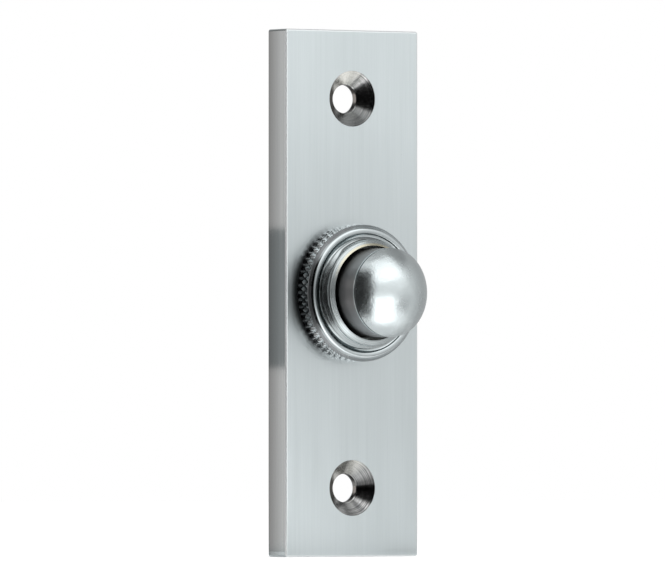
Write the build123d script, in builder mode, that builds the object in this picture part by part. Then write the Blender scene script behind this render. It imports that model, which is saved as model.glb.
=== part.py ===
"""Doorbell push: a flat bar plate with a threaded barrel, a knurled ring nut and a domed button.

The plate lies on the wall. X is right, Z is up and the front faces -Y. The origin is the middle of the
plate's wall face. Depths along the button's axis are measured from the plate's front face and are
positive towards the visitor. All sizes are millimetres.
"""

import os
from math import cos, pi, radians, sin, tan

from build123d import *

# Plate: a hollow-backed bar with two countersunk holes
screw_spacing = 61.0
screw_end_margin = 10.75
plate_side_wall = 2.5
plate_end_wall = 2.5
plate_web = 3.1
pocket_depth = 1.65
pocket_corner_radius = 2.0
plate_corner_radius = 0.4
plate_edge_radius = 0.3
screw_hole_diameter = 4.5
countersink_diameter = 8.8
countersink_angle = 90.0

# Push button
button_diameter = 13.9
button_showing = 4.43
dome_height = 3.55
button_gap = 0.45
button_travel = 2.0
button_wall = 1.95
crown_wall = 2.05
button_flange_lap = 0.45
button_flange_thickness = 1.4
slide_clearance = 0.05

# Threaded barrel
barrel_wall = 0.85
barrel_showing = 2.87
barrel_chamfer_angle = 51.0
bore_edge = 0.05
collar_width = 0.85
collar_length = 0.33
barrel_lip_length = 2.82
barrel_hole_clearance = 0.1
barrel_flange_width = 0.6
barrel_flange_reach = 1.7
barrel_flange_thickness = 1.5
pocket_clearance = 0.1
sleeve_wall = 1.2
rear_lip = 0.4

# Knurled ring nut
nut_wall = 2.12
knurl_height = 2.95
nut_foot_chamfer = 0.25
nut_shoulder_step = 0.15
nut_shoulder_width = 0.5
nut_shoulder_height = 0.65
nut_bead_width = 0.95
nut_bead_crown = 0.2
thread_clearance = 0.05
knurl_count = 60
knurl_angle = 30.0
knurl_flank_angle = 115.0
knurl_allowance = 0.1

# Plunger, bridging disc and its clip
plunger_reach = 1.2
plunger_clearance = 0.03
plunger_chamfer = 0.4
spigot_radius = 0.9
spigot_tip = 0.6
disc_thickness = 0.5
disc_clearance = 0.05
clip_lip = 0.7
clip_thickness = 0.4
clip_slot_width = 0.5

# Switch base, contacts and terminals
contact_clearance = 0.05
tip_clearance = 0.25
stud_head_radius = 1.7
stud_head_chamfer = 0.5
stud_head_clearance = 0.25
stud_shank_radius = 1.5
stud_clearance = 0.02
terminal_thread_radius = 1.0
terminal_thread_length = 3.4
terminal_hole_spare = 0.4
base_seat = 0.4
base_clearance = 0.05
base_thickness = 4.6
base_rib_width = 1.2
base_rib_height = 1.2
base_rib_length = 9.0
washer_radius = 2.6
washer_thickness = 0.5
washer_clearance = 0.1
screw_head_radius = 1.9
screw_head_height = 1.4
screw_slot_width = 0.5
screw_slot_depth = 0.7

# Retaining ring and return spring
ring_thickness = 0.8
ring_width = 1.1
ring_bite = 0.45
ring_groove_clearance = 0.03
ring_opening_angle = 50.0
wire_diameter = 0.6
wire_sides = 8
spring_turns = 4.0
spring_boss_height = 0.8
spring_boss_clearance = 0.25

# Radii, from the button outwards
button_radius = button_diameter / 2
bore_radius = button_radius + button_gap
button_flange_radius = bore_radius + button_flange_lap
guide_radius = button_flange_radius + slide_clearance
thread_radius = guide_radius + barrel_wall
nut_bore_radius = thread_radius + thread_clearance
nut_radius = thread_radius + nut_wall
base_bore_radius = guide_radius + base_seat
base_radius = base_bore_radius - base_clearance
sleeve_radius = base_bore_radius + sleeve_wall

# Radii of the contact set, from the plunger outwards
plunger_radius = button_radius - button_wall - plunger_clearance
clip_radius = spigot_radius + clip_lip
stud_offset = clip_radius + stud_head_clearance + stud_head_radius
disc_radius = stud_offset + stud_head_radius
spring_radius = (disc_radius + guide_radius) / 2
spring_boss_radius = spring_radius - wire_diameter / 2 - spring_boss_clearance

# Plate outline, from what it holds
flange_half_width = sleeve_radius + barrel_flange_width
pocket_width = 2 * (flange_half_width + pocket_clearance)
plate_width = pocket_width + 2 * plate_side_wall
plate_height = screw_spacing + 2 * screw_end_margin
pocket_height = plate_height - 2 * plate_end_wall
plate_thickness = plate_web + pocket_depth

# Depths along the axis, from the visitor's side to the wall
barrel_front = knurl_height + barrel_showing
barrel_nose_radius = bore_radius + bore_edge
collar_radius = barrel_nose_radius + collar_width
collar_front = barrel_front - collar_width / tan(radians(barrel_chamfer_angle))
collar_back = collar_front - collar_length
thread_end = collar_back - (thread_radius - collar_radius)
button_edge = barrel_front + button_showing
button_tip = button_edge + dome_height
button_bore_top = button_edge - crown_wall
stop_face = barrel_front - barrel_lip_length
button_back = stop_face - button_flange_thickness
disc_front = button_back - plunger_reach
disc_back = disc_front - disc_thickness
clip_back = disc_back - clip_thickness
spigot_end = clip_back - spigot_tip
stud_front = disc_back - button_travel - contact_clearance
base_front = spigot_end - button_travel - tip_clearance
spring_seat = base_front - spring_boss_height
base_back = base_front - base_thickness
ring_back = base_back - ring_thickness
barrel_back = ring_back - rear_lip
pocket_floor = -plate_web
flange_back = pocket_floor - barrel_flange_thickness


def axial_plane(height=0.0):
    """A plane for turned profiles: x is the radius and y the depth from the plate's front face."""
    return Plane(origin=(0, -plate_thickness, height), x_dir=(1, 0, 0), z_dir=(0, 0, -1))


def turning_axis(height=0.0):
    """The axis of a piece turned at this height."""
    return Axis((0, 0, height), (0, 1, 0))


def depth_plane(depth):
    """A plane across the button's axis that faces the visitor: x is right and y is up."""
    return Plane.XZ.offset(plate_thickness + depth)


os.makedirs("parts", exist_ok=True)

# Plate
with BuildPart() as plate:
    with BuildSketch(Plane.XZ):
        RectangleRounded(plate_width, plate_height, plate_corner_radius)
    extrude(amount=plate_thickness)
    front_face = plate.faces().sort_by(Axis.Y)[0]
    fillet(front_face.edges(), plate_edge_radius)
    with BuildSketch(Plane.XZ):
        RectangleRounded(pocket_width, pocket_height, pocket_corner_radius)
    extrude(amount=pocket_depth, mode=Mode.SUBTRACT)
    with Locations(depth_plane(0)):
        Hole(thread_radius + barrel_hole_clearance)
        with GridLocations(0, screw_spacing, 1, 2):
            CounterSinkHole(
                screw_hole_diameter / 2,
                countersink_diameter / 2,
                counter_sink_angle=countersink_angle,
            )
plate.part.label = "plate"
export_step(plate.part, "parts/plate.step")

# Threaded barrel: slides in from behind, keyed by the flats of its flange, and guides the button
with BuildPart() as threaded_barrel:
    with BuildSketch(axial_plane()):
        with BuildLine():
            Polyline(
                (bore_radius, stop_face),
                (bore_radius, barrel_front - bore_edge),
                (barrel_nose_radius, barrel_front),
                (collar_radius, collar_front),
                (collar_radius, collar_back),
                (thread_radius, thread_end),
                (thread_radius, flange_back),
                (sleeve_radius, flange_back),
                (sleeve_radius, barrel_back),
                (base_bore_radius, barrel_back),
                (base_bore_radius, base_front),
                (guide_radius, base_front),
                (guide_radius, stop_face),
                close=True,
            )
        make_face()
    revolve(axis=turning_axis())
    with BuildSketch(depth_plane(pocket_floor)):
        Circle(sleeve_radius + barrel_flange_reach)
        Rectangle(2 * flange_half_width, 2 * plate_height, mode=Mode.INTERSECT)
        Circle(base_bore_radius, mode=Mode.SUBTRACT)
    extrude(amount=-barrel_flange_thickness)
    with BuildSketch(axial_plane()):
        with Locations((base_bore_radius, (base_back + ring_back) / 2)):
            Rectangle(2 * ring_bite, ring_thickness + 2 * ring_groove_clearance)
    revolve(axis=turning_axis(), mode=Mode.SUBTRACT)
threaded_barrel.part.label = "threaded_barrel"
export_step(threaded_barrel.part, "parts/threaded_barrel.step")

# Knurled ring nut: screws onto the barrel and clamps the plate between itself and the barrel's flange
with BuildPart() as knurled_ring_nut:
    blank_radius = nut_radius + knurl_allowance
    shoulder_radius = nut_radius - nut_shoulder_step
    with BuildSketch(axial_plane()):
        with BuildLine():
            Polyline(
                (nut_bore_radius, 0),
                (nut_radius - nut_foot_chamfer, 0),
                (blank_radius, nut_foot_chamfer + knurl_allowance),
                (blank_radius, knurl_height - nut_shoulder_step - knurl_allowance),
                (shoulder_radius, knurl_height),
                (nut_bore_radius, knurl_height),
                close=True,
            )
        make_face()
    revolve(axis=turning_axis())
    # Two crossing sets of leaning V grooves, wide enough to meet, leave the diamond points
    groove_pitch = 2 * pi * nut_radius / knurl_count * cos(radians(knurl_angle))
    flank = tan(radians(knurl_flank_angle / 2))
    knurl_depth = groove_pitch / 2 / flank
    groove_length = 2 * knurl_height / cos(radians(knurl_angle))
    for lean in (1, -1):
        groove_plane = Plane(
            origin=(nut_radius, -plate_thickness - knurl_height / 2, 0),
            x_dir=(1, 0, 0),
            z_dir=(0, cos(radians(knurl_angle)), lean * sin(radians(knurl_angle))),
        )
        with BuildSketch(groove_plane, mode=Mode.PRIVATE) as groove:
            with BuildLine():
                Polyline(
                    (-knurl_depth, 0),
                    (knurl_depth, 2 * knurl_depth * flank),
                    (knurl_depth, -2 * knurl_depth * flank),
                    close=True,
                )
            make_face()
        cutter = extrude(groove.sketch, amount=groove_length / 2, both=True, mode=Mode.PRIVATE)
        turns = [index * 360 / knurl_count for index in range(knurl_count)]
        add([cutter.rotate(turning_axis(), turn) for turn in turns], mode=Mode.SUBTRACT)
    # The plain shoulder and the rounded bead in front of the knurled band
    shoulder_top = knurl_height + nut_shoulder_height
    bead_outer = shoulder_radius - nut_shoulder_width
    bead_inner = bead_outer - nut_bead_width
    with BuildSketch(axial_plane()):
        with BuildLine():
            Polyline(
                (bead_inner, shoulder_top),
                (bead_inner, knurl_height),
                (shoulder_radius, knurl_height),
                (bead_outer, shoulder_top),
            )
            ThreePointArc(
                (bead_outer, shoulder_top),
                ((bead_outer + bead_inner) / 2, shoulder_top + nut_bead_crown),
                (bead_inner, shoulder_top),
            )
        make_face()
    revolve(axis=turning_axis())
knurled_ring_nut.part.label = "knurled_ring_nut"
export_step(knurled_ring_nut.part, "parts/knurled_ring_nut.step")

# Push button: a domed cap whose rear flange stops against the barrel's lip
with BuildPart() as push_button:
    with BuildSketch(axial_plane()):
        with BuildLine():
            Polyline(
                (button_radius, button_edge),
                (button_radius, stop_face),
                (button_flange_radius, stop_face),
                (button_flange_radius, button_back),
                (button_radius - button_wall, button_back),
                (button_radius - button_wall, button_bore_top),
                (0, button_bore_top),
                (0, button_tip),
            )
            TangentArc((0, button_tip), (button_radius, button_edge), tangent=(1, 0))
        make_face()
    revolve(axis=turning_axis())
push_button.part.label = "push_button"
export_step(push_button.part, "parts/push_button.step")

# Plunger: the insulating core pressed into the button, with a spigot for the bridging disc
with BuildPart() as plunger:
    with BuildSketch(axial_plane()):
        with BuildLine():
            Polyline(
                (0, button_bore_top),
                (plunger_radius - plunger_chamfer, button_bore_top),
                (plunger_radius, button_bore_top - plunger_chamfer),
                (plunger_radius, disc_front),
                (spigot_radius, disc_front),
                (spigot_radius, spigot_end),
                (0, spigot_end),
                close=True,
            )
        make_face()
    revolve(axis=turning_axis())
plunger.part.label = "plunger"
export_step(plunger.part, "parts/plunger.step")

# Contact disc: bridges the two studs when the button is pressed home
with BuildPart() as contact_disc:
    with BuildSketch(depth_plane(disc_front)):
        Circle(disc_radius)
        Circle(spigot_radius + disc_clearance, mode=Mode.SUBTRACT)
    extrude(amount=-disc_thickness)
contact_disc.part.label = "contact_disc"
export_step(contact_disc.part, "parts/contact_disc.step")

# Disc clip: a push-on clip that holds the disc against the plunger's shoulder
with BuildPart() as disc_clip:
    with BuildSketch(depth_plane(disc_back)):
        Circle(clip_radius)
        Circle(spigot_radius, mode=Mode.SUBTRACT)
        with Locations((spigot_radius, 0)):
            Rectangle(clip_lip, clip_slot_width, mode=Mode.SUBTRACT)
    extrude(amount=-clip_thickness)
disc_clip.part.label = "disc_clip"
export_step(disc_clip.part, "parts/disc_clip.step")

# Return spring: from the base's ledge to the back of the button's flange
with BuildPart() as return_spring:
    coil_start = spring_seat + wire_diameter / 2
    coil_height = button_back - wire_diameter / 2 - coil_start
    with BuildLine() as coil:
        Helix(
            pitch=coil_height / spring_turns,
            height=coil_height,
            radius=spring_radius,
            center=(0, -plate_thickness - coil_start, 0),
            direction=(0, -1, 0),
        )
    with BuildSketch(Plane(origin=coil.line @ 0, z_dir=coil.line % 0)):
        RegularPolygon(wire_diameter / 2, wire_sides)
    sweep(path=coil.line, is_frenet=True)
return_spring.part.label = "return_spring"
export_step(return_spring.part, "parts/return_spring.step")

# Switch base: an insulating disc with a boss inside the spring and a rib between the terminals
with BuildPart() as switch_base:
    with BuildSketch(depth_plane(base_back)):
        Circle(base_radius)
    extrude(amount=base_thickness)
    with BuildSketch(depth_plane(base_front)):
        Circle(guide_radius)
        Circle(spring_boss_radius, mode=Mode.SUBTRACT)
    extrude(amount=-spring_boss_height, mode=Mode.SUBTRACT)
    with BuildSketch(depth_plane(base_back)):
        Rectangle(base_rib_length, base_rib_width)
    extrude(amount=-base_rib_height)
    with Locations(depth_plane(base_front)):
        with GridLocations(0, 2 * stud_offset, 1, 2):
            Hole(stud_shank_radius + stud_clearance)
switch_base.part.label = "switch_base"
export_step(switch_base.part, "parts/switch_base.step")

# Contact studs: flat-headed brass rivets through the base, tapped from behind
for stud_name, height in (("upper_contact_stud", stud_offset), ("lower_contact_stud", -stud_offset)):
    hole_end = base_back + terminal_thread_length + terminal_hole_spare
    with BuildPart() as contact_stud:
        with BuildSketch(axial_plane(height)):
            with BuildLine():
                Polyline(
                    (0, stud_front),
                    (0, hole_end),
                    (terminal_thread_radius, hole_end),
                    (terminal_thread_radius, base_back),
                    (stud_shank_radius, base_back),
                    (stud_shank_radius, base_front),
                    (stud_head_radius, base_front),
                    (stud_head_radius, stud_front - stud_head_chamfer),
                    (stud_head_radius - stud_head_chamfer, stud_front),
                    close=True,
                )
            make_face()
        revolve(axis=turning_axis(height))
    contact_stud.part.label = stud_name
    export_step(contact_stud.part, f"parts/{stud_name}.step")

# Terminal washers: clamp the bell wires on the back of the base
with BuildPart() as terminal_washers:
    with BuildSketch(depth_plane(base_back)):
        with GridLocations(0, 2 * stud_offset, 1, 2):
            Circle(washer_radius)
            Circle(terminal_thread_radius + washer_clearance, mode=Mode.SUBTRACT)
    extrude(amount=-washer_thickness)
terminal_washers.part.label = "terminal_washers"
export_step(terminal_washers.part, "parts/terminal_washers.step")

# Terminal screws: slotted cheese heads
with BuildPart() as terminal_screws:
    head_seat = base_back - washer_thickness
    head_back = head_seat - screw_head_height
    with BuildSketch(depth_plane(head_back)):
        with GridLocations(0, 2 * stud_offset, 1, 2):
            Circle(screw_head_radius)
    extrude(amount=screw_head_height)
    with BuildSketch(depth_plane(head_back)):
        with GridLocations(0, 2 * stud_offset, 1, 2):
            Rectangle(2 * screw_head_radius, screw_slot_width)
    extrude(amount=screw_slot_depth, mode=Mode.SUBTRACT)
    with BuildSketch(depth_plane(head_seat)):
        with GridLocations(0, 2 * stud_offset, 1, 2):
            Circle(terminal_thread_radius - stud_clearance)
    extrude(amount=washer_thickness + terminal_thread_length)
terminal_screws.part.label = "terminal_screws"
export_step(terminal_screws.part, "parts/terminal_screws.step")

# Retaining ring: an open spring ring that holds the base in the barrel
with BuildPart() as retaining_ring:
    ring_radius = base_bore_radius + ring_bite - ring_groove_clearance
    with BuildSketch(depth_plane(base_back)):
        Circle(ring_radius)
        Circle(ring_radius - ring_width, mode=Mode.SUBTRACT)
        with BuildLine():
            reach = 2 * ring_radius
            half_opening = radians(ring_opening_angle / 2)
            Polyline(
                (0, 0),
                (reach * cos(half_opening), reach * sin(half_opening)),
                (reach * cos(half_opening), -reach * sin(half_opening)),
                close=True,
            )
        make_face(mode=Mode.SUBTRACT)
    extrude(amount=-ring_thickness)
retaining_ring.part.label = "retaining_ring"
export_step(retaining_ring.part, "parts/retaining_ring.step")
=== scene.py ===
"""Looks of the doorbell push: satin chrome plate, knurled nut, threaded barrel, domed button and studio."""

import math

import bpy
import numpy as np
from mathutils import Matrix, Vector


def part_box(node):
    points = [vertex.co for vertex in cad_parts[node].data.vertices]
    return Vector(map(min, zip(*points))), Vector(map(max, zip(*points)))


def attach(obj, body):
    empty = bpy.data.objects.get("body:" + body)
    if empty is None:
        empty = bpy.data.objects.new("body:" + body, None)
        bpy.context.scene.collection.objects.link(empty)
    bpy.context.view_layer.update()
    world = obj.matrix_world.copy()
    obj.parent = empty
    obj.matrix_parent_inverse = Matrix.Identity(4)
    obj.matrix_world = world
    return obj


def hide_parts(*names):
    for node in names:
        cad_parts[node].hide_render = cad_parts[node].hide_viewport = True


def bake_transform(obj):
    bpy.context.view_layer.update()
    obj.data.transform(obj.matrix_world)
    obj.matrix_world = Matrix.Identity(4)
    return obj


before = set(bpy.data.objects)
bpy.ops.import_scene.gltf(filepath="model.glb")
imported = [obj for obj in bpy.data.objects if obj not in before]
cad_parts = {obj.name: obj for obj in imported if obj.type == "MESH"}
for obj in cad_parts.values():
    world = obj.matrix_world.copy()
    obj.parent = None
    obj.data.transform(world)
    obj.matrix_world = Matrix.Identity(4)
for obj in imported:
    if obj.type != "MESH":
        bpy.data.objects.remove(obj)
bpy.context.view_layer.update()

MM = 0.001
ROOT = "plate_assembly"
BUTTON = "button"

# Places in metres, all but the hollow's read from the frame
plate_low, plate_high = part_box("plate")
spring_low, spring_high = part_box("return_spring")
FACE_Y = plate_low.y
HOLLOW_Y = -1.65 * MM

# Sizes below are in millimetres, and depths are from the plate's front face towards the visitor

# Plate; its worn edges start and are full at these distances from its sides, and reach this far back
SCREW_SPACING = 61.0
COUNTERSINK_RADIUS = 4.4
SCREW_HOLE_RADIUS = 2.25
EDGE_START = 0.32
EDGE_FULL = 0.12
EDGE_BACK = 0.29

# How far off a surface of the plate a point may be and still belong to it
FACE_MARGIN = 0.03
FACE_REACH = 0.2
SIDE_MARGIN = 0.02
COUNTERSINK_MARGIN = 0.02
SCREW_HOLE_MARGIN = 0.04
HOLLOW_MARGIN = 0.1

# Push button
BUTTON_RADIUS = 6.95
BUTTON_EDGE = 10.4
BUTTON_TIP = 13.8
BUTTON_FLANGE_RADIUS = 7.85
BUTTON_BORE_RADIUS = 5.0
BUTTON_BORE_TOP = 8.2
BUTTON_BACK = 1.6
BUTTON_COLUMNS = 192
EDGE_LINE = 10.26
EDGE_LINE_HALF = 0.12
EDGE_LINE_DEPTH = 0.1
EDGE_LINE_ROUNDING = 0.04
CAP_RADIUS = 0.03
DOME_EDGE_ANGLE = 0.012
DOME_TIP_ANGLE = 0.004
DOME_ROWS = 56

# Threaded barrel
STOP_FACE = 3.0
BORE_RADIUS = 7.40
BORE_EDGE = 0.05
BORE_EDGE_KNEE = 0.015
BARE_RADIUS = 7.82
GUIDE_RADIUS = 7.9
NOSE_FRONT = 5.75
NOSE_RADIUS = 8.12
NOSE_DEPTH = 5.28
STEP_KNEE = (8.26, 5.17)
STEP_RADIUS = 8.3
STEP_FRONT = 5.02
STEP_BACK = 4.79
THREAD_RADIUS = 8.75
THREAD_END = 4.36
THREAD_START = 2.4
FLANGE_RADIUS = 11.2
FLANGE_HALF_WIDTH = 10.1
FLANGE_FRONT = -3.1
FLANGE_BACK = -4.6
FLATS_FRONT = FLANGE_FRONT + 0.2
SLEEVE_RADIUS = 9.5
BASE_BORE = 8.3
BASE_FRONT = -3.35
BASE_BACK = -7.95
RING_BACK = -8.75
RING_BITE = 0.45
RING_CLEARANCE = 0.03
BARREL_BACK = -9.15
BARREL_ROUNDING = 0.1
BARREL_COLUMNS = 360

# Rows of the barrel's mesh
BORE_FIRST_ROW = 0.3
BORE_NEXT_ROW = 0.6
BORE_LAST_ROW = 0.02
BORE_ROW = 0.5
NOSE_FIRST_SHARE = 0.05
NOSE_ROWS = 14
STEP_CURVE_POINTS = 24
STEP_ROW = 0.04
RUN_OUT_POINTS = 16
THREAD_ROW = 0.035
REAR_START = THREAD_START - 0.2

# The barrel's thread, which runs out at the step, and the fine lines scored into one side of it
THREAD_PITCH = 0.977
THREAD_ROOT = 8.18
THREAD_ROOT_HALF = 0.05
THREAD_REAR_SLOPE = 1.2
THREAD_FRONT_SLOPE = 2.0
THREAD_EXIT_DEPTH = 4.9
THREAD_EXIT_ANGLE = math.radians(223)
THREAD_EXIT_BLEND = 0.06
THREAD_FADE = math.radians(95)
THREAD_FADE_SHARE = 0.4
THREAD_MARK_DEPTH = 0.3
SCORE_PITCH = 0.16
SCORE_DEPTH = 0.008
SCORED_ANGLE = math.radians(248)
SCORED_REACH = math.radians(62)

# Knurled ring nut
NUT_RADIUS = 10.87
NUT_BORE_RADIUS = 8.8
NUT_FOOT = 0.25
SHOULDER_STEP = 0.15
SHOULDER_TOP = 3.46
BEAD_OUTER = 10.33
BEAD_INNER = 9.27
BEAD_TOP = 3.8
BEAD_CROWN_RADIUS = 9.75
RECESS_FLOOR = 3.45
RECESS_ROUNDING = 0.06
KNURL_HEIGHT = 2.95
KNURL_ROOT = NUT_RADIUS - 0.5
KNURL_COUNT = 60
KNURL_ANGLE = math.radians(30)
KNURL_FLANK = math.radians(46)
KNURL_ROUNDING = 0.05
KNURL_CREST = 0.86
KNURL_CREST_SLOPE = 0.4
KNURL_COLUMNS = 14
BEAD_OUTER_KNEE = 0.22
BEAD_INNER_KNEE = 0.15
BEAD_INNER_DROP = 0.13

# Rows of the nut's mesh, closer together next to its sharp edges
FOOT_ROW = 0.06
CHAMFER_ROW = 0.05
KNURL_ROW = 0.045
SHOULDER_EDGE_ROWS = ((0.01, 0.0), (0.03, 0.02))
SHOULDER_INSET = 0.05
SHOULDER_ROW = 0.11
BEAD_OUTER_POINTS = 14
BEAD_INNER_POINTS = 10
BEAD_WALL_ROW = 0.2
RECESS_ROWS = (0.08, 0.02)

# Return spring
WIRE_RADIUS = 0.3
WIRE_SIDES = 12
SPRING_TURNS = 4.0
CLOSED_TURNS = 0.75
STEPS_PER_TURN = 64


# Mesh helpers


def add_object(name, verts, faces):
    """A smooth-shaded mesh object."""
    mesh = bpy.data.meshes.new(name)
    mesh.from_pydata(verts, [], faces)
    mesh.validate()
    mesh.shade_smooth()
    obj = bpy.data.objects.new(name, mesh)
    bpy.context.scene.collection.objects.link(obj)
    return obj


def add_values(obj, name, values):
    """A number for each of an object's points, which its material can read."""
    attribute = obj.data.attributes.new(name, "FLOAT", "POINT")
    attribute.data.foreach_set("value", np.array(values, np.float32).ravel())


def steps_between(low, high, step):
    """Evenly spaced values from low to high, both included, about step apart."""
    return list(np.linspace(low, high, max(2, int(round((high - low) / step)) + 1)))


def straight(start, end, shares):
    """Points at the given shares of the way from start to end."""
    return [(start[0] + t * (end[0] - start[0]), start[1] + t * (end[1] - start[1])) for t in shares]


def curved(start, knee, end, count):
    """Points along a curve that leaves start towards its knee and reaches end from there, without start."""
    points = []
    for t in np.linspace(0, 1, count)[1:]:
        weights = ((1 - t) ** 2, 2 * t * (1 - t), t * t)
        points.append(tuple(np.dot(weights, (start, knee, end))))
    return points


def soften(points, radius, steps):
    """A closed outline with each corner rounded off by a short curve of steps + 1 points."""
    straight_cosine = -0.985
    most_of_side = 0.4
    points = [np.array(p, float) for p in points]
    out = []
    for i, corner in enumerate(points):
        into = points[i - 1] - corner
        away = points[(i + 1) % len(points)] - corner
        into_length, away_length = np.linalg.norm(into), np.linalg.norm(away)
        if np.dot(into, away) / (into_length * away_length) < straight_cosine:
            out.append(tuple(corner))
            continue
        start = corner + into / into_length * min(radius, most_of_side * into_length)
        end = corner + away / away_length * min(radius, most_of_side * away_length)
        out.append(tuple(start))
        out += curved(start, corner, end, steps + 1)
    return out


def turned(name, outline, columns, shape, body=ROOT, closed=True):
    """A piece turned about the button's axis from an outline of (radius, depth).

    For each row of the outline, shape gives the radii round the axis and how far each point is out of its
    groove, from 0 to 1. An outline that isn't closed starts and ends close to the axis, and two small caps
    close the piece there.
    """
    rows = len(outline)
    angles = np.arange(columns) * 2 * math.pi / columns
    verts = np.zeros((rows, columns, 3))
    marks = np.ones((rows, columns))
    for i, (radius, depth) in enumerate(outline):
        radii, marks[i] = shape(np.full(columns, float(radius)), depth, angles, i)
        verts[i, :, 0] = radii * np.cos(angles) * MM
        verts[i, :, 1] = FACE_Y - depth * MM
        verts[i, :, 2] = radii * np.sin(angles) * MM
    faces = []
    for i in range(rows if closed else rows - 1):
        a, b = i * columns, (i + 1) % rows * columns
        for j in range(columns):
            k = (j + 1) % columns
            faces.append((a + j, b + j, b + k, a + k))
    if not closed:
        faces.append(tuple(range(columns)))
        faces.append(tuple(reversed(range((rows - 1) * columns, rows * columns))))
    radius_list, depth_list = np.array(outline, float).T
    twice_area = np.sum(radius_list * np.roll(depth_list, -1) - np.roll(radius_list, -1) * depth_list)
    if twice_area > 0:
        faces = [tuple(reversed(face)) for face in faces]
    obj = add_object(name, verts.reshape(-1, 3).tolist(), faces)
    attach(obj, body)
    add_values(obj, "crest", marks)
    weighted = obj.modifiers.new("weighted_normals", "WEIGHTED_NORMAL")
    weighted.keep_sharp = True
    return obj


# Knurled ring nut


def knurl(radii, depth, angles):
    """Cuts the crossing leaning grooves into one row of the nut's rim."""
    pitch = 2 * math.pi * NUT_RADIUS / KNURL_COUNT
    knurl_depth = pitch * math.cos(KNURL_ANGLE) / 2 / math.tan(KNURL_FLANK)
    height = np.full(len(angles), np.inf)
    for lean in (1, -1):
        along = angles * NUT_RADIUS + lean * (depth - KNURL_HEIGHT / 2) * math.tan(KNURL_ANGLE)
        offset = (along / pitch + 0.5) % 1.0 - 0.5
        height = np.minimum(height, 2 * np.abs(offset))
    rounded = np.sqrt(height**2 + KNURL_ROUNDING**2) - KNURL_ROUNDING
    rounded = np.minimum(rounded, KNURL_CREST + KNURL_CREST_SLOPE * (rounded - KNURL_CREST))
    surface = NUT_RADIUS - knurl_depth + knurl_depth * rounded
    if depth > 0:
        return np.minimum(radii, surface), height
    foot_radius = NUT_RADIUS - NUT_FOOT
    share = (radii - KNURL_ROOT) / (foot_radius - KNURL_ROOT)
    return KNURL_ROOT + share * (np.minimum(foot_radius, surface) - KNURL_ROOT), height


def make_nut():
    """The ring nut: bore, foot, knurled rim, sloping shoulder, rounded bead and the recess inside it."""
    foot_radius = NUT_RADIUS - NUT_FOOT
    shoulder_radius = NUT_RADIUS - SHOULDER_STEP
    crest_end = KNURL_HEIGHT - SHOULDER_STEP
    outline = [(NUT_BORE_RADIUS, RECESS_FLOOR), (NUT_BORE_RADIUS, 0.0), (KNURL_ROOT, 0.0)]
    rim = [(r, 0.0) for r in steps_between(KNURL_ROOT, foot_radius, FOOT_ROW)[1:]]
    rim += [(foot_radius + d, d) for d in steps_between(0.0, NUT_FOOT, CHAMFER_ROW)[1:]]
    rim += [(NUT_RADIUS, d) for d in steps_between(NUT_FOOT, crest_end, KNURL_ROW)[1:]]
    for d in steps_between(0.0, SHOULDER_STEP, CHAMFER_ROW)[1:]:
        rim.append((NUT_RADIUS - d, crest_end + d))
    rim_rows = range(len(outline), len(outline) + len(rim))
    outline += rim
    outline += [(shoulder_radius - inset, KNURL_HEIGHT + rise) for inset, rise in SHOULDER_EDGE_ROWS]
    slope = (shoulder_radius - BEAD_OUTER) / (SHOULDER_TOP - KNURL_HEIGHT)
    for d in steps_between(KNURL_HEIGHT + SHOULDER_INSET, SHOULDER_TOP - SHOULDER_INSET, SHOULDER_ROW):
        outline.append((shoulder_radius - (d - KNURL_HEIGHT) * slope, d))
    crown = (BEAD_CROWN_RADIUS, BEAD_TOP)
    outer_knee = (BEAD_OUTER - BEAD_OUTER_KNEE, BEAD_TOP)
    outline += curved((BEAD_OUTER, SHOULDER_TOP), outer_knee, crown, BEAD_OUTER_POINTS)
    inner_knee = (BEAD_INNER + BEAD_INNER_KNEE, BEAD_TOP)
    outline += curved(crown, inner_knee, (BEAD_INNER, BEAD_TOP - BEAD_INNER_DROP), BEAD_INNER_POINTS)
    outline += [(BEAD_INNER, BEAD_TOP - BEAD_WALL_ROW), (BEAD_INNER, RECESS_FLOOR + RECESS_ROUNDING)]
    outline += [(BEAD_INNER - RECESS_ROUNDING, RECESS_FLOOR)]
    outline += [(NUT_BORE_RADIUS + gap, RECESS_FLOOR) for gap in RECESS_ROWS]

    def shape(radii, depth, angles, row):
        if row in rim_rows:
            return knurl(radii, depth, angles)
        return radii, np.ones(len(angles))

    nut = turned("ring_nut", outline, KNURL_COUNT * KNURL_COLUMNS, shape)
    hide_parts("knurled_ring_nut")
    return nut


# Threaded barrel


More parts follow.
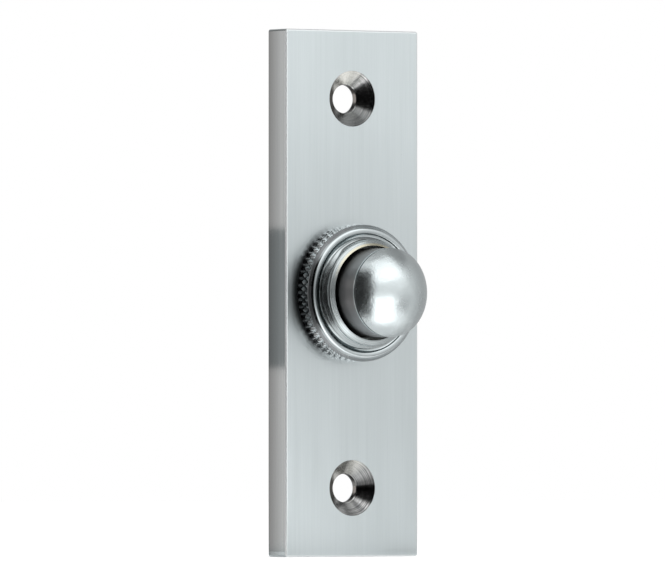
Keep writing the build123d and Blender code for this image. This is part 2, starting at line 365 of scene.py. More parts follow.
def thread(radii, depth, angles):
    """Winds the right-hand thread round one row of the barrel's front and scores fine lines into it."""
    turns = (depth - THREAD_EXIT_DEPTH) / THREAD_PITCH - (angles - THREAD_EXIT_ANGLE) / (2 * math.pi)
    nearest = np.round(turns)
    from_root = (turns - nearest) * THREAD_PITCH
    past_exit = nearest * 2 * math.pi + angles - THREAD_EXIT_ANGLE
    behind = THREAD_ROOT + THREAD_REAR_SLOPE * np.maximum(-from_root - THREAD_ROOT_HALF, 0)
    ahead = THREAD_ROOT + THREAD_FRONT_SLOPE * np.maximum(from_root - THREAD_ROOT_HALF, 0)
    groove = np.where(from_root < 0, behind, ahead)
    fading = THREAD_FADE_SHARE * np.clip(1 - past_exit / THREAD_FADE, 0, 1)
    leaving = THREAD_FADE_SHARE + (1 - THREAD_FADE_SHARE) * -past_exit / THREAD_EXIT_BLEND
    share = np.where(past_exit < 0, np.where(past_exit > -THREAD_EXIT_BLEND, leaving, 1.0), fading)
    scored = np.clip(1 - np.abs(angles - SCORED_ANGLE) / SCORED_REACH, 0, 1)
    cut_depth = np.maximum(radii - groove, 0) * share
    cut_depth = cut_depth + SCORE_DEPTH * scored * (1 + math.cos(2 * math.pi * depth / SCORE_PITCH))
    return radii - cut_depth, np.clip(1 - cut_depth / THREAD_MARK_DEPTH, 0, 1)


def make_barrel():
    """The barrel: bore, stepped nose, thread, keyed flange, sleeve with a ring groove, and button guide."""
    rounding_points = 4
    outline = [(BORE_RADIUS, STOP_FACE + BORE_FIRST_ROW)]
    bore_end = NOSE_FRONT - BORE_EDGE - BORE_LAST_ROW
    outline += [(BORE_RADIUS, d) for d in steps_between(STOP_FACE + BORE_NEXT_ROW, bore_end, BORE_ROW)]
    outline += [(BORE_RADIUS + BORE_EDGE_KNEE, NOSE_FRONT - BORE_EDGE_KNEE)]
    outline += [(BORE_RADIUS + BORE_EDGE, NOSE_FRONT)]
    nose_shares = np.linspace(NOSE_FIRST_SHARE, 1, NOSE_ROWS)
    front = straight(outline[-1], (NOSE_RADIUS, NOSE_DEPTH), nose_shares)
    front += curved((NOSE_RADIUS, NOSE_DEPTH), STEP_KNEE, (STEP_RADIUS, STEP_FRONT), STEP_CURVE_POINTS)
    front += [(STEP_RADIUS, d) for d in reversed(steps_between(STEP_BACK, STEP_FRONT, STEP_ROW)[:-1])]
    run_out_shares = np.linspace(0, 1, RUN_OUT_POINTS)[1:]
    front += straight((STEP_RADIUS, STEP_BACK), (THREAD_RADIUS, THREAD_END), run_out_shares)
    thread_depths = steps_between(THREAD_START, THREAD_END, THREAD_ROW)[:-1]
    front += [(THREAD_RADIUS, d) for d in reversed(thread_depths)]
    front_rows = range(len(outline), len(outline) + len(front))
    outline += front
    rear = soften(
        [
            (THREAD_RADIUS, REAR_START),
            (THREAD_RADIUS, FLANGE_FRONT),
            (FLANGE_RADIUS, FLANGE_FRONT),
            (FLANGE_RADIUS, FLANGE_BACK),
            (SLEEVE_RADIUS, FLANGE_BACK),
            (SLEEVE_RADIUS, BARREL_BACK),
            (BASE_BORE, BARREL_BACK),
            (BASE_BORE, RING_BACK - RING_CLEARANCE),
            (BASE_BORE + RING_BITE, RING_BACK - RING_CLEARANCE),
            (BASE_BORE + RING_BITE, BASE_BACK + RING_CLEARANCE),
            (BASE_BORE, BASE_BACK + RING_CLEARANCE),
            (BASE_BORE, BASE_FRONT),
            (GUIDE_RADIUS, BASE_FRONT),
            (GUIDE_RADIUS, STOP_FACE),
            (BORE_RADIUS, STOP_FACE),
        ],
        BARREL_ROUNDING,
        rounding_points - 1,
    )
    outline += rear[rounding_points:-rounding_points] + [(BORE_RADIUS, STOP_FACE)]

    def shape(radii, depth, angles, row):
        if row in front_rows:
            return thread(radii, depth, angles)
        if depth < FLATS_FRONT:
            sideways = np.maximum(np.abs(np.cos(angles)), np.finfo(np.float32).eps)
            radii = np.minimum(radii, FLANGE_HALF_WIDTH / sideways)
        return radii, np.ones(len(angles))

    barrel = turned("barrel_bush", outline, BARREL_COLUMNS, shape)
    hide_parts("threaded_barrel")
    return barrel


# Push button


def make_button():
    """The button: a hollow cap with a stop flange, and a fine groove where the dome meets its side."""
    rounding_points = 6
    rise = BUTTON_TIP - BUTTON_EDGE
    dome_radius = (BUTTON_RADIUS**2 + rise**2) / (2 * rise)
    dome_centre = BUTTON_TIP - dome_radius
    near_edge = math.asin(BUTTON_RADIUS / dome_radius) - DOME_EDGE_ANGLE
    dome = []
    for angle in np.linspace(near_edge, DOME_TIP_ANGLE, DOME_ROWS):
        dome.append((dome_radius * math.sin(angle), dome_centre + dome_radius * math.cos(angle)))
    wall = soften(
        [
            (CAP_RADIUS, BUTTON_BORE_TOP),
            (BUTTON_BORE_RADIUS, BUTTON_BORE_TOP),
            (BUTTON_BORE_RADIUS, BUTTON_BACK),
            (BUTTON_FLANGE_RADIUS, BUTTON_BACK),
            (BUTTON_FLANGE_RADIUS, STOP_FACE),
            (BUTTON_RADIUS, STOP_FACE),
            (BUTTON_RADIUS, EDGE_LINE - EDGE_LINE_HALF),
            (BUTTON_RADIUS - EDGE_LINE_DEPTH, EDGE_LINE),
            (BUTTON_RADIUS, EDGE_LINE + EDGE_LINE_HALF),
            (BUTTON_RADIUS, BUTTON_EDGE),
            dome[0],
        ],
        EDGE_LINE_ROUNDING,
        rounding_points - 1,
    )
    outline = [(CAP_RADIUS, BUTTON_BORE_TOP)] + wall[rounding_points:-rounding_points] + dome

    def shape(radii, depth, angles, row):
        # The groove's rows are marked 0, so the material paints them dark as painted shade
        in_line = abs(depth - EDGE_LINE) < EDGE_LINE_HALF and radii[0] > BUTTON_BORE_RADIUS + 1
        return radii, np.full(len(angles), 0.0 if in_line else 1.0)

    button = turned("domed_button", outline, BUTTON_COLUMNS, shape, body=BUTTON, closed=False)
    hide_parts("push_button")
    return button


# Return spring


def make_spring():
    """A round-wire coil with closed ends."""
    wire = WIRE_RADIUS * MM
    radius = (spring_high.x - spring_low.x) / 2 - wire
    seat, top = spring_high.y - wire, spring_low.y + wire
    end_turns = 2 * CLOSED_TURNS
    turns = SPRING_TURNS + end_turns
    stacked = 2 * wire * end_turns
    count = int(turns * STEPS_PER_TURN) + 1
    verts, faces = [], []
    for wound in np.linspace(0, turns, count):
        free = np.clip((wound - CLOSED_TURNS) / SPRING_TURNS, 0, 1)
        closed = np.clip(wound, 0, CLOSED_TURNS) + np.clip(wound - turns + CLOSED_TURNS, 0, CLOSED_TURNS)
        y = seat + (top - seat + stacked) * free - stacked * closed / end_turns
        angle = wound * 2 * math.pi
        for k in range(WIRE_SIDES):
            side = k * 2 * math.pi / WIRE_SIDES
            reach = radius + wire * math.cos(side)
            verts.append((reach * math.cos(angle), y + wire * math.sin(side), reach * math.sin(angle)))
    for i in range(count - 1):
        a, b = i * WIRE_SIDES, (i + 1) * WIRE_SIDES
        for k in range(WIRE_SIDES):
            m = (k + 1) % WIRE_SIDES
            faces.append((a + k, a + m, b + m, b + k))
    faces.append(tuple(reversed(range(WIRE_SIDES))))
    faces.append(tuple((count - 1) * WIRE_SIDES + k for k in range(WIRE_SIDES)))
    coil = add_object("spring_coil", verts, faces)
    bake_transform(coil)
    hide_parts("return_spring")
    return coil


# Materials


class Nodes:
    """A short way to add nodes to a material or a world and link them."""

    def __init__(self, owner):
        self.owner = owner
        owner.use_nodes = True
        self.tree = owner.node_tree
        self.tree.nodes.clear()

    def put(self, socket, value):
        """Links a node's output to a socket, or sets a plain value on it."""
        if isinstance(value, bpy.types.NodeSocket):
            self.tree.links.new(value, socket)
        else:
            socket.default_value = value

    def add(self, kind, inputs=None, **settings):
        node = self.tree.nodes.new(kind)
        for key, value in settings.items():
            setattr(node, key, value)
        for key, value in (inputs or {}).items():
            self.put(node.inputs[key], value)
        return node

    def math(self, operation, a, b=0.0):
        return self.add("ShaderNodeMath", {0: a, 1: b}, operation=operation).outputs[0]

    def plus(self, value, *others):
        for other in others:
            value = self.math("ADD", value, other)
        return value

    def times(self, value, *others):
        for other in others:
            value = self.math("MULTIPLY", value, other)
        return value

    def less(self, a, b):
        return self.math("LESS_THAN", a, b)

    def more(self, a, b):
        return self.math("GREATER_THAN", a, b)

    def size(self, value):
        return self.math("ABSOLUTE", value)

    def length(self, a, b):
        return self.math("SQRT", self.plus(self.times(a, a), self.times(b, b)))

    def rest_of(self, share):
        return self.math("SUBTRACT", 1.0, share)

    def choose(self, share, a, b):
        """A number that goes from a to b as share goes from 0 to 1."""
        return self.plus(self.times(a, self.rest_of(share)), self.times(b, share))

    def between(self, value, low, high, to_low=0.0, to_high=1.0):
        """Where a value lies between low and high, as a value between to_low and to_high."""
        inputs = {"Value": value, "From Min": low, "From Max": high, "To Min": to_low, "To Max": to_high}
        return self.add("ShaderNodeMapRange", inputs).outputs["Result"]

    def mix(self, share, a, b):
        """A colour that goes from a to b as share goes from 0 to 1."""
        return self.add("ShaderNodeMix", {0: share, 6: a, 7: b}, data_type="RGBA").outputs[2]

    def position(self):
        coordinates = self.add("ShaderNodeTexCoord").outputs["Object"]
        split = self.add("ShaderNodeSeparateXYZ", {0: coordinates})
        return coordinates, split.outputs[0], split.outputs[1], split.outputs[2]

    def stretched_noise(self, coordinates, scale, detail, roughness=0.6):
        mapped = self.add("ShaderNodeMapping", {"Vector": coordinates, "Scale": scale}).outputs[0]
        inputs = {"Vector": mapped, "Scale": 1.0, "Detail": detail, "Roughness": roughness}
        return self.add("ShaderNodeTexNoise", inputs).outputs["Fac"]

    def noise(self, coordinates, scale, detail, roughness=0.6):
        return self.stretched_noise(coordinates, (scale, scale, scale), detail, roughness)

    def line_noise(self, value, detail=2.0):
        inputs = {"W": value, "Scale": 1.0, "Detail": detail}
        return self.add("ShaderNodeTexNoise", inputs, noise_dimensions="1D").outputs["Fac"]

    def value(self, name):
        """A number that the mesh keeps for each of its points."""
        return self.add("ShaderNodeAttribute", attribute_name=name).outputs["Fac"]

    def bump(self, height, strength, distance):
        inputs = {"Height": height, "Strength": strength, "Distance": distance * MM}
        return self.add("ShaderNodeBump", inputs)

    def principled(self, color, roughness, bump, metallic=1.0):
        inputs = {"Base Color": color, "Roughness": roughness, "Metallic": metallic}
        inputs["Normal"] = bump.outputs[0]
        return self.add("ShaderNodeBsdfPrincipled", inputs)

    def finish(self, shader, output="ShaderNodeOutputMaterial"):
        self.add(output, {"Surface": shader.outputs[0]})
        return self.owner


def new_material(name):
    return Nodes(bpy.data.materials.new(name))


def dress(obj, material):
    """Gives an object one material."""
    obj.data.materials.clear()
    obj.data.materials.append(material)


def at_depth(depth):
    """The y of a depth in front of the plate's face, in metres."""
    return FACE_Y - depth * MM


def darker(color, share):
    """A colour with its brightness brought down to a share."""
    return tuple(share * c for c in color[:3]) + (1,)


def painted_shade_side(n, x):
    """The share of painted shade on the nut's left side, on the nut and on the plate beside it."""
    return n.between(x, -4.5 * MM, -8.0 * MM)


WHITE = (1.0, 1.0, 1.0, 1.0)
WARM = (1.0, 0.935, 0.915, 1.0)
# Black for painted shadows: on the plate beside the nut, on the nut's foot and on the button where it
# enters the barrel
SHADOW_BLACK = (0.012, 0.012, 0.014, 1.0)

# Plate: the brushed face, its marks, painted shade round the nut and on its sides, and its worn edges
SATIN_DARK = (0.555, 0.61, 0.62, 1)
SATIN_LIGHT = (0.645, 0.70, 0.712, 1)
NUT_HALO_SHADE = (0.12, 0.125, 0.125, 1)
WALL_SHADE = (0.12, 0.12, 0.118, 1)
WORN_EDGE = (0.93, 0.95, 0.955, 1)
FINE_GRAIN = (9000, 9000, 90)
BROAD_GRAIN = (1500, 1500, 25)
PLATE_CLOUD = (45, 45, 18)

# Countersinks: turned lines, a painted highlight above, painted shade and painted dark reflections
# elsewhere
RING_DARK = (0.27, 0.275, 0.275, 1)
RING_LIGHT = (0.58, 0.58, 0.575, 1)
RING_HIGHLIGHT = (0.96, 0.95, 0.89, 1)
RING_SHADE = (0.13, 0.14, 0.14, 1)
RING_DARK_REFLECTION = (0.07, 0.075, 0.075, 1)
RING_DARK_WEDGE = (0.02, 0.02, 0.021, 1)
DARK_REFLECTION_GRAZING = (0.3, 0.29, 0.27, 1)
# Screw hole walls, painted light at the sides and painted dark above and below
HOLE_LIGHT = (0.36, 0.355, 0.34, 1)
HOLE_DARK = (0.03, 0.03, 0.03, 1)
RING_LINES = 6400.0
RING_WOBBLE = 0.25

# Turned chrome
CHROME = (0.60, 0.655, 0.665, 1.0)
NUT_CHROME = (0.51, 0.555, 0.565, 1)
# Groove colours are painted shade; the barrel's also stands for dirt in its thread
NUT_GROOVE_SHADE = (0.03, 0.033, 0.035, 1)
BARREL_GROOVE_DIRT_AND_SHADE = (0.12, 0.13, 0.13, 1)
BUTTON_GROOVE_SHADE = (0.05, 0.055, 0.055, 1)
# The shoulder's colour is painted shade, and the slide's is wear and painted shade
SHOULDER_SHADE = (0.38, 0.395, 0.405, 1)
SLIDE_WEAR_AND_SHADE = (0.31, 0.31, 0.315, 1)
# Polish and a painted highlight on the knurled rim
POLISH_AND_SHEEN = (0.93, 0.95, 0.96, 1)
BRASS = (0.58, 0.555, 0.44, 1.0)
# Painted shade deep in the bore
BORE_SHADE = (0.12, 0.11, 0.07, 1)
TURNED_LINES = 7000.0
STREAK_LINES = 3000.0
TURNED_CLOUD = 260
DENTS = 650

# The middle part of a noise's values, and a narrower one
MIDDLE = (0.3, 0.7)
NARROW = (0.35, 0.65)

# Roughness and depth of the marks
FACE_ROUGH = (0.27, 0.40)
SIDE_ROUGH = (0.07, 0.13)
RING_ROUGH = 0.17
EDGE_ROUGH = 0.2
GRAIN_STRENGTH = 0.35
GRAIN_DEPTH = 0.012
RING_HEIGHT = 3.2
TURNED_STRENGTH = 0.25


def countersinks(n, coordinates, x, y, z):
    """Where the two countersunk holes are, their turned lines, their colour and its tint at low angles."""
    hole_z = n.math("SUBTRACT", z, n.times(n.math("SIGN", z), SCREW_SPACING / 2 * MM))
    radius = n.length(x, hole_z)
    left = n.math("DIVIDE", n.times(x, -1.0), radius)
    top = n.math("DIVIDE", hole_z, radius)
    inside = n.less(radius, (COUNTERSINK_RADIUS + COUNTERSINK_MARGIN) * MM)
    below_face = n.more(y, FACE_Y + FACE_MARGIN * MM)
    above_hollow = n.less(y, HOLLOW_Y - HOLLOW_MARGIN * MM)
    sunk = n.times(inside, below_face, above_hollow)
    wobble = n.noise(coordinates, 300, 1.0)
    lines = n.line_noise(n.times(n.plus(radius, n.times(wobble, RING_WOBBLE * MM)), RING_LINES), 3.0)
    color = n.mix(n.between(lines, 0.4, 0.6), RING_DARK, RING_LIGHT)
    # A painted highlight towards the top left of each cone
    highlight_share = n.plus(n.times(left, 0.45), n.times(top, 0.9))
    color = n.mix(n.between(highlight_share, 0.35, 0.85, 0.0, 0.75), color, RING_HIGHLIGHT)
    # Painted shade on the lower part of the upper cone
    lower_cone_shade = n.times(n.between(top, -0.2, -0.7, 0.0, 0.7), n.more(z, 0.0))
    color = n.mix(lower_cone_shade, color, RING_SHADE)
    # A painted dark reflection on the left of each cone, which also darkens its reflection at low angles
    dark_reflection = n.between(n.math("SUBTRACT", left, n.times(top, 0.09)), 0.74, 0.92, 0.0, 0.9)
    color = n.mix(dark_reflection, color, RING_DARK_REFLECTION)
    grazing = n.mix(n.times(dark_reflection, sunk), WHITE, DARK_REFLECTION_GRAZING)
    # A painted dark reflection in a wedge on the right of the lower cone
    on_right = n.between(left, -0.45, -0.7, 0.0, 0.72)
    in_wedge = n.times(n.between(top, -0.25, -0.1), n.between(top, 0.6, 0.3))
    dark_wedge = n.times(on_right, in_wedge, n.less(z, 0.0))
    color = n.mix(dark_wedge, color, RING_DARK_WEDGE)
    # The hole walls are painted light at the sides and painted dark above and below
    hole_color = n.mix(n.between(n.size(top), 0.3, 0.6), HOLE_LIGHT, HOLE_DARK)
    in_hole = n.less(radius, (SCREW_HOLE_RADIUS + SCREW_HOLE_MARGIN) * MM)
    color = n.mix(in_hole, color, hole_color)
    return sunk, lines, color, grazing


def plate_material():
    """Satin chrome brushed lengthways, with bright turned countersinks and worn edges."""
    n = new_material("plate_satin_chrome")
    coordinates, x, y, z = n.position()
    fine = n.stretched_noise(coordinates, FINE_GRAIN, 4.0)
    broad = n.stretched_noise(coordinates, BROAD_GRAIN, 3.0)
    cloud = n.stretched_noise(coordinates, PLATE_CLOUD, 2.0)
    grain = n.plus(n.times(fine, 0.6), n.times(broad, 0.4))
    sunk, ring_lines, sunk_color, grazing_tint = countersinks(n, coordinates, x, y, z)
    tint = n.between(n.plus(n.times(grain, 0.5), n.times(cloud, 0.5)), *NARROW)
    color = n.mix(sunk, n.mix(tint, SATIN_DARK, SATIN_LIGHT), sunk_color)

    # Painted shade darkens the face round the nut, and a painted contact shadow lies beside its rim on its
    # left
    on_face = n.less(y, FACE_Y + FACE_REACH * MM)
    from_axis = n.length(x, z)
    halo_shade = n.between(n.plus(from_axis, n.times(cloud, 6 * MM)), 14 * MM, 32 * MM, 0.11, 0.0)
    color = n.mix(n.times(halo_shade, on_face), color, NUT_HALO_SHADE)
    contact_shadow = n.between(from_axis, (NUT_RADIUS + 0.05) * MM, (NUT_RADIUS + 0.85) * MM, 0.8, 0.0)
    color = n.mix(n.times(contact_shadow, on_face, painted_shade_side(n, x)), color, SHADOW_BLACK)

    # The sides darken towards the wall, and the rounded front edges are worn bright
    at_side = n.more(n.size(x), plate_high.x - SIDE_MARGIN * MM)
    by_wall = n.between(n.plus(y, n.times(cloud, 0.8 * MM)), -3.2 * MM, 0.6 * MM, 0.0, 0.62)
    color = n.mix(n.times(at_side, by_wall), color, WALL_SHADE)
    end_edge = n.between(n.size(z), plate_high.z - EDGE_START * MM, plate_high.z - EDGE_FULL * MM)
    side_edge = n.between(n.size(x), plate_high.x - EDGE_START * MM, plate_high.x - EDGE_FULL * MM)
    edge = n.times(n.math("MAXIMUM", end_edge, side_edge), n.less(y, FACE_Y + EDGE_BACK * MM))
    color = n.mix(n.times(edge, n.between(cloud, 0.25, 0.75, 1.0, 0.6)), color, WORN_EDGE)

    face_rough = n.between(grain, *MIDDLE, *FACE_ROUGH)
    side_rough = n.between(grain, *MIDDLE, *SIDE_ROUGH)
    roughness = n.choose(sunk, n.choose(at_side, face_rough, side_rough), RING_ROUGH)
    roughness = n.plus(roughness, n.times(edge, EDGE_ROUGH))
    height = n.choose(sunk, grain, n.times(ring_lines, RING_HEIGHT))
    bump = n.bump(height, GRAIN_STRENGTH, GRAIN_DEPTH)
    shader = n.principled(color, roughness, bump)
    n.put(shader.inputs["Specular Tint"], grazing_tint)
    return n.finish(shader)


def turned_chrome(
    name, base, groove, rough, line_depth=0.008, knurled=False, streaks=0.0, brass_below=None, dull=None,
    foot=None, mottle=0.0,
):
    """Chrome with fine turned lines, with painted shade in its grooves.

    A knurled piece is painted bright on its rim, as polish and a painted highlight, and carries painted
    shade on one side. streaks is the strength of darker bands, and brass_below is the radius inside which
    brass shows, with painted shade deeper in the bore. dull is a band with another look, given as radii,
    depths, colour and added roughness, where a colour is painted shade, or wear and painted shade. foot is
    a painted shadow that clears between two depths, with its share, and mottle is the depth of small dents.
    """
    n = new_material(name)
    coordinates, x, y, z = n.position()
    radius = n.length(x, z)
    along = n.plus(radius, y)
    cloud = n.noise(coordinates, TURNED_CLOUD, 3.0)
    color = n.mix(n.between(cloud, *NARROW), base, darker(base, 0.93))
    if streaks:
        bands = n.line_noise(n.times(n.plus(along, n.times(cloud, 0.3 * MM)), STREAK_LINES))
        share = n.times(n.between(bands, 0.36, 0.56, streaks, 0.0), n.less(y, FACE_Y))
        color = n.mix(share, color, darker(base, 0.3))

    # Grooves get painted shade up to a small height, standing partly for dirt in them, a little higher
    # lower down and higher at the top and bottom of a knurled rim
    height = n.value("crest")
    groove_top = n.between(z, 2.0 * MM, -5.0 * MM, 0.03, 0.08)
    if knurled:
        upper_end = n.between(z, 8.2 * MM, 10.0 * MM, 0.0, 0.3)
        lower_end = n.between(z, -7.4 * MM, -9.4 * MM, 0.0, 0.42)
        groove_top = n.plus(groove_top, upper_end, lower_end)
    unshaded = n.between(height, 0.0, groove_top)
    if knurled:
        # Painted shade on the nut's left side, over its grooves and crests
        left_shade = n.between(x, -8.4 * MM, -10.0 * MM)
        unshaded = n.choose(left_shade, unshaded, n.between(height, 0.1, 0.75, 0.0, 0.4))
        # The rim away from the left side is painted bright, as polish and a painted highlight
        on_rim = n.more(y, at_depth(KNURL_HEIGHT))
        color = n.mix(n.times(on_rim, n.rest_of(left_shade)), color, POLISH_AND_SHEEN)
    color = n.mix(unshaded, groove, color)

    if brass_below is not None:
        edge = n.between(radius, (brass_below - 0.12) * MM, brass_below * MM, 1.0, 0.0)
        front = n.between(y, at_depth(NOSE_FRONT - 0.6), at_depth(NOSE_FRONT - 0.4))
        upper = n.between(n.plus(z, n.times(cloud, 3 * MM)), 3.0 * MM, 7.5 * MM)
        color = n.mix(n.times(edge, front, upper), color, BRASS)
        # Deeper in the bore the colour is painted shade
        in_bore = n.less(radius, (BORE_RADIUS + 0.01) * MM)
        shade_in_bore = n.between(y, at_depth(NOSE_FRONT - 0.7), at_depth(NOSE_FRONT - 0.4), 1.0, 0.0)
        color = n.mix(n.times(in_bore, shade_in_bore), color, BORE_SHADE)
    roughness = n.between(cloud, *MIDDLE, rough - 0.04, rough + 0.05)
    if dull is not None:
        (inner, outer), (back, front), band_color, dull_rough = dull
        in_radii = n.times(n.more(radius, inner * MM), n.less(radius, outer * MM))
        band = n.times(in_radii, n.more(y, at_depth(front)), n.less(y, at_depth(back)))
        if band_color is not None:
            clouded = n.mix(n.between(cloud, *MIDDLE), band_color, darker(band_color, 0.85))
            color = n.mix(band, color, clouded)
        roughness = n.plus(roughness, n.times(band, dull_rough))
    # A painted shadow between two depths, on a knurled piece only on its left side
    if foot is not None:
        back, front, share = foot
        foot_shadow = n.between(y, at_depth(front), at_depth(back), 0.0, share)
        if knurled:
            foot_shadow = n.times(foot_shadow, painted_shade_side(n, x), n.between(height, 0.25, 0.9, 1.0, 0.4))
        color = n.mix(foot_shadow, color, SHADOW_BLACK)

    bump = n.bump(n.line_noise(n.times(along, TURNED_LINES)), TURNED_STRENGTH, line_depth)
    if mottle:
        dents = n.bump(n.noise(coordinates, DENTS, 5.0, 0.65), 1.0, mottle)
        n.put(bump.inputs["Normal"], dents.outputs[0])
    return n.finish(n.principled(color, roughness, bump))


def speckled(name, low, high, rough, metallic):
    """A plain material with fine variation of colour and roughness."""
    n = new_material(name)
    coordinates = n.position()[0]
    cloud = n.noise(coordinates, 900.0, 4.0)
    color = n.mix(n.between(cloud, *MIDDLE), low, high)
    roughness = n.between(cloud, *MIDDLE, rough - 0.06, rough + 0.06)
    return n.finish(n.principled(color, roughness, n.bump(cloud, 0.2, 0.01), metallic))


# Studio

PANEL_STEPS = 24
PANEL_CENTRE = Vector((0, -12 * MM, 0))
PANEL_DROP = -(plate_low.z + 0.8 * MM)
WORLD_LIGHT = 0.7
FLOOR_REACH = 3.0
FLOOR_Z = plate_low.z - 0.1 * MM
FLOOR_COLOR = (0.8, 0.8, 0.8, 1)
FLOOR_GLOW = 0.5
FLOOR_REFLECTED = 0.3

# Name, azimuths, elevations, distance, levels of the corners, fades and colour of each panel
PANELS = (
    ("upper_glow", (-36, 52), (15, 78), 0.5, (2.2, 2.1, 1.5, 1.4), (14, 14)),
    ("front_glow", (-26, 48), (-16, 30), 0.52, (1.05, 0.98, 1.05, 0.98), (14, 12)),
    ("lower_glow", (-37, 27), (-67, 0), 0.54, (2.3, 2.3, 2.1, 2.1), (12, 12)),
    ("low_reflector", (10, 90), (-60, -28), 0.54, (2.3, 0.5, 1.8, 0.5), (10, 10)),
    ("face_card", (12, 58), (-31, 30), 0.26, (0.46, 0.35, 1.62, 1.14), (8, 8)),
    ("left_flag", (-116, -25), (-52, 52), 0.3, (0.0, 0.0, 0.0, 0.0), (13, 12)),
    ("upper_left_flag", (-128, -86), (32, 76), 0.31, (0.05, 0.05, 0.05, 0.05), (8, 9)),
    ("top_card", (-90, 90), (64, 116), 0.42, (0.5, 0.5, 0.5, 0.5), (0, 10)),
    ("side_card", (-104, -78), (-46, 46), 0.28, (0.4, 0.34, 0.5, 0.42), (7, 8)),
    ("rear_flag", (-168, -119), (-12, 11.3), 0.055, (0.3, 0.3, 0.3, 0.3), (4, 0)),
    ("rear_upper_flag", (-180, -118), (18, 70), 0.45, (0.15, 0.15, 0.15, 0.15), (6, 6)),
    ("rear_lower_flag", (-180, -118), (-75, -24), 0.45, (0.5, 0.5, 0.5, 0.5), (6, 6)),
    ("rear_card", (-186, -130), (-27, 27), 0.6, (0.68, 0.68, 0.68, 0.68), (5, 5), WARM),
    ("right_fade", (48, 84), (-38, 40), 0.68, (0.95, 0.5, 0.95, 0.5), (6, 6)),
    ("right_card", (80, 182), (-34, 40), 0.7, (0.5, 0.52, 0.5, 0.48), (6, 6)),
    ("right_upper_card", (46, 182), (32, 86), 0.72, (0.32, 0.22, 0.5, 0.45), (10, 8)),
    ("right_lower_card", (82, 182), (-80, -28), 0.72, (0.7, 0.4, 0.6, 0.4), (6, 6)),
)


def around(azimuth, elevation, distance):
    """A place seen from the object: azimuth 0 is straight in front and negative is to the left."""
    a, e = math.radians(azimuth), math.radians(elevation)
    return Vector((math.sin(a) * math.cos(e), -math.cos(a) * math.cos(e), math.sin(e))) * distance


def way(ends, share):
    """The value at a share of the way from the first end to the second."""
    return ends[0] + (ends[1] - ends[0]) * share


def cover(value, ends, fade):
    """A smooth rise from 0 at either end to 1 once a value is further in than the fade, if there is one."""
    if not fade:
        return 1.0
    share = min(max(min(value - ends[0], ends[1] - value) / fade, 0.0), 1.0)
    return share * share * (3 - 2 * share)


def panel(name, azimuths, elevations, distance, levels, fades, color=WHITE):
    """A curved card that only reflections see, standing round the object and lying on the floor below it.

    Its brightness runs evenly between the levels of its corners: lower left and right, then upper left and
    right. It fades out towards its sides, and towards its top and bottom, over the given angles.
    """
    shares = np.linspace(0, 1, PANEL_STEPS + 1)
    verts, level_list, cover_list = [], [], []
    for e_share in shares:
        e = way(elevations, e_share)
        reach = distance if e >= 0 else min(distance, PANEL_DROP / math.sin(math.radians(-e)))
        sides = (way((levels[0], levels[2]), e_share), way((levels[1], levels[3]), e_share))
        for a_share in shares:
            a = way(azimuths, a_share)
            verts.append(PANEL_CENTRE + around(a, e, reach))
            level_list.append(way(sides, a_share))
            cover_list.append(cover(a, azimuths, fades[0]) * cover(e, elevations, fades[1]))
    faces = []
    for i in range(PANEL_STEPS):
        for j in range(PANEL_STEPS):
            k = i * (PANEL_STEPS + 1) + j
            faces.append((k, k + 1, k + PANEL_STEPS + 2, k + PANEL_STEPS + 1))
    obj = add_object(name, verts, faces)
    add_values(obj, "level", level_list)
    add_values(obj, "cover", cover_list)
    n = new_material(name)
    clear = n.add("ShaderNodeBsdfTransparent")
    glow = n.add("ShaderNodeEmission", {"Color": color, "Strength": n.value("level")})
    inputs = {0: n.value("cover"), 1: clear.outputs[0], 2: glow.outputs[0]}
    dress(obj, n.finish(n.add("ShaderNodeMixShader", inputs)))
    obj.visible_camera = False
    obj.visible_diffuse = False
    obj.visible_shadow = False


def softbox(name, azimuth, elevation, distance, size, level):
    """A rectangular lamp for the soft light and shadow, with a brightness of its own, where 1 is white."""
    data = bpy.data.lights.new(name, "AREA")
    data.shape = "RECTANGLE"
    data.size, data.size_y = size
    data.energy = level * math.pi * size[0] * size[1]
    light = bpy.data.objects.new(name, data)
    light.location = around(azimuth, elevation, distance)
    light.rotation_mode = "QUATERNION"
    light.rotation_quaternion = (-light.location).to_track_quat("-Z", "Y")
    light.visible_glossy = False
    bpy.context.scene.collection.objects.link(light)


def make_world():
    """A white surround, a little dimmer as a light than as it is seen."""
    world = bpy.data.worlds.new("studio")
    bpy.context.scene.world = world
    n = Nodes(world)
    path = n.add("ShaderNodeLightPath").outputs
    seen = n.math("MAXIMUM", path["Is Camera Ray"], path["Is Glossy Ray"])
    seen = n.math("MAXIMUM", seen, path["Is Transmission Ray"])
    strength = n.between(seen, 0.0, 1.0, WORLD_LIGHT, 1.0)
    background = n.add("ShaderNodeBackground", {"Color": WHITE, "Strength": strength})
    n.finish(background, "ShaderNodeOutputWorld")


def make_floor():
    """A pale floor that keeps the object's shadow."""
    signs = ((-1, -1), (1, -1), (1, 1), (-1, 1))
    corners = [(side * FLOOR_REACH, back * FLOOR_REACH, FLOOR_Z) for side, back in signs]
    floor = add_object("floor", corners, [(0, 1, 2, 3)])
    n = new_material("floor_white")
    path = n.add("ShaderNodeLightPath").outputs
    seen = n.math("MAXIMUM", path["Is Camera Ray"], n.times(path["Is Glossy Ray"], FLOOR_REFLECTED))
    diffuse = n.add("ShaderNodeBsdfDiffuse", {"Color": FLOOR_COLOR})
    glow = n.add("ShaderNodeEmission", {"Strength": n.times(seen, FLOOR_GLOW)})
    dress(floor, n.finish(n.add("ShaderNodeAddShader", {0: diffuse.outputs[0], 1: glow.outputs[0]})))


def make_studio():
    bpy.context.scene.view_settings.view_transform = "Standard"
    make_world()
    make_floor()
    softbox("upper_softbox", 12, 45, 0.5, (0.42, 0.38), 2.2)
    for settings in PANELS:
        panel(*settings)


# Camera

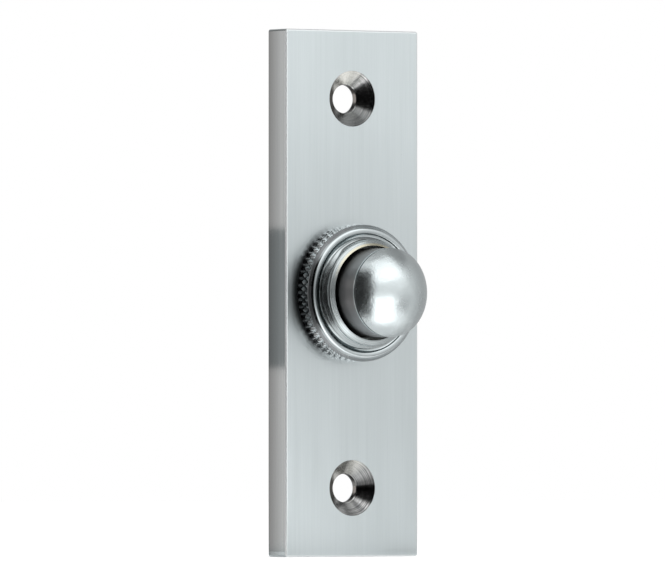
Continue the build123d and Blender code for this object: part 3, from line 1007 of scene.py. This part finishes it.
CAMERA_AZIMUTH = -35.5
CAMERA_ELEVATION = -0.8
CAMERA_DISTANCE = 2.0
SENSOR_WIDTH = 36.0
CLIP_END = 20.0
FRAME_WIDTH = 665
PIXELS_PER_MM = 6.382
FACE_CENTRE_PIXEL = (352.3, 293.3)
FRAME_CENTRE_PIXEL = (332.5, 293.5)


def make_camera():
    """A long lens at the photograph's angle, with the plate's face where the photograph has it."""
    data = bpy.data.cameras.new("camera")
    camera = bpy.data.objects.new("camera", data)
    bpy.context.scene.collection.objects.link(camera)
    data.sensor_width = SENSOR_WIDTH
    data.lens = SENSOR_WIDTH * CAMERA_DISTANCE / (FRAME_WIDTH / PIXELS_PER_MM * MM)
    data.clip_end = CLIP_END
    back = around(CAMERA_AZIMUTH, CAMERA_ELEVATION, 1.0)
    camera.rotation_mode = "QUATERNION"
    camera.rotation_quaternion = (-back).to_track_quat("-Z", "Y")
    right = camera.rotation_quaternion @ Vector((1, 0, 0))
    up = camera.rotation_quaternion @ Vector((0, 1, 0))
    shift_right = (FACE_CENTRE_PIXEL[0] - FRAME_CENTRE_PIXEL[0]) / PIXELS_PER_MM * MM
    shift_up = (FRAME_CENTRE_PIXEL[1] - FACE_CENTRE_PIXEL[1]) / PIXELS_PER_MM * MM
    target = Vector((0, FACE_Y, 0)) - right * shift_right - up * shift_up
    camera.location = target + back * CAMERA_DISTANCE
    bpy.context.scene.camera = camera


# Assembly

nut = make_nut()
barrel = make_barrel()
button = make_button()
spring = make_spring()

dress(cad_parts["plate"], plate_material())

# The nut's shoulder colour is painted shade
shoulder_radii = (BEAD_OUTER + 0.03, NUT_RADIUS - SHOULDER_STEP)
shoulder_depths = (KNURL_HEIGHT - 0.01, SHOULDER_TOP)
# The nut's foot carries a painted shadow on its left side
nut_chrome = turned_chrome(
    "nut_satin_chrome", NUT_CHROME, NUT_GROOVE_SHADE, 0.15, knurled=True,
    dull=(shoulder_radii, shoulder_depths, SHOULDER_SHADE, 0.14), foot=(0.65, 1.15, 1.0),
)
dress(nut, nut_chrome)

nose_radii = (BORE_RADIUS - 0.01, STEP_RADIUS + 0.01)
nose_depths = (STEP_FRONT, NOSE_FRONT + 0.1)
barrel_chrome = turned_chrome(
    "barrel_chrome", CHROME, BARREL_GROOVE_DIRT_AND_SHADE, 0.20, line_depth=0.03, streaks=0.85, brass_below=BARE_RADIUS,
    dull=(nose_radii, nose_depths, None, 0.06),
)
dress(barrel, barrel_chrome)

# The button's side is darker as wear and painted shade, with a strip by the groove left bright as a painted
# highlight
slide_radii = (BUTTON_RADIUS - 0.03, BUTTON_RADIUS + 0.1)
slide_depths = (STOP_FACE, EDGE_LINE - 0.36)
# The button's foot carries a painted shadow where it goes into the barrel
button_chrome = turned_chrome(
    "button_satin_chrome", CHROME, BUTTON_GROOVE_SHADE, 0.25,
    dull=(slide_radii, slide_depths, SLIDE_WEAR_AND_SHADE, 0.08), foot=(5.35, 8.2, 0.7), mottle=0.05,
)
dress(button, button_chrome)

brass = speckled("turned_brass", (0.55, 0.39, 0.14, 1), (0.66, 0.49, 0.2, 1), 0.28, 1.0)
bronze = speckled("phosphor_bronze", (0.52, 0.3, 0.15, 1), (0.62, 0.38, 0.2, 1), 0.32, 1.0)
steel = speckled("spring_steel", (0.42, 0.42, 0.43, 1), (0.55, 0.55, 0.56, 1), 0.3, 1.0)
phenolic = speckled("black_phenolic", (0.012, 0.011, 0.01, 1), (0.03, 0.026, 0.022, 1), 0.42, 0.0)
nylon = speckled("natural_nylon", (0.74, 0.72, 0.65, 1), (0.82, 0.8, 0.74, 1), 0.45, 0.0)
for node, material in {
    "upper_contact_stud": brass,
    "lower_contact_stud": brass,
    "terminal_screws": brass,
    "terminal_washers": brass,
    "contact_disc": bronze,
    "disc_clip": steel,
    "retaining_ring": steel,
    "switch_base": phenolic,
    "plunger": nylon,
}.items():
    dress(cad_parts[node], material)
dress(spring, steel)

make_studio()
make_camera()
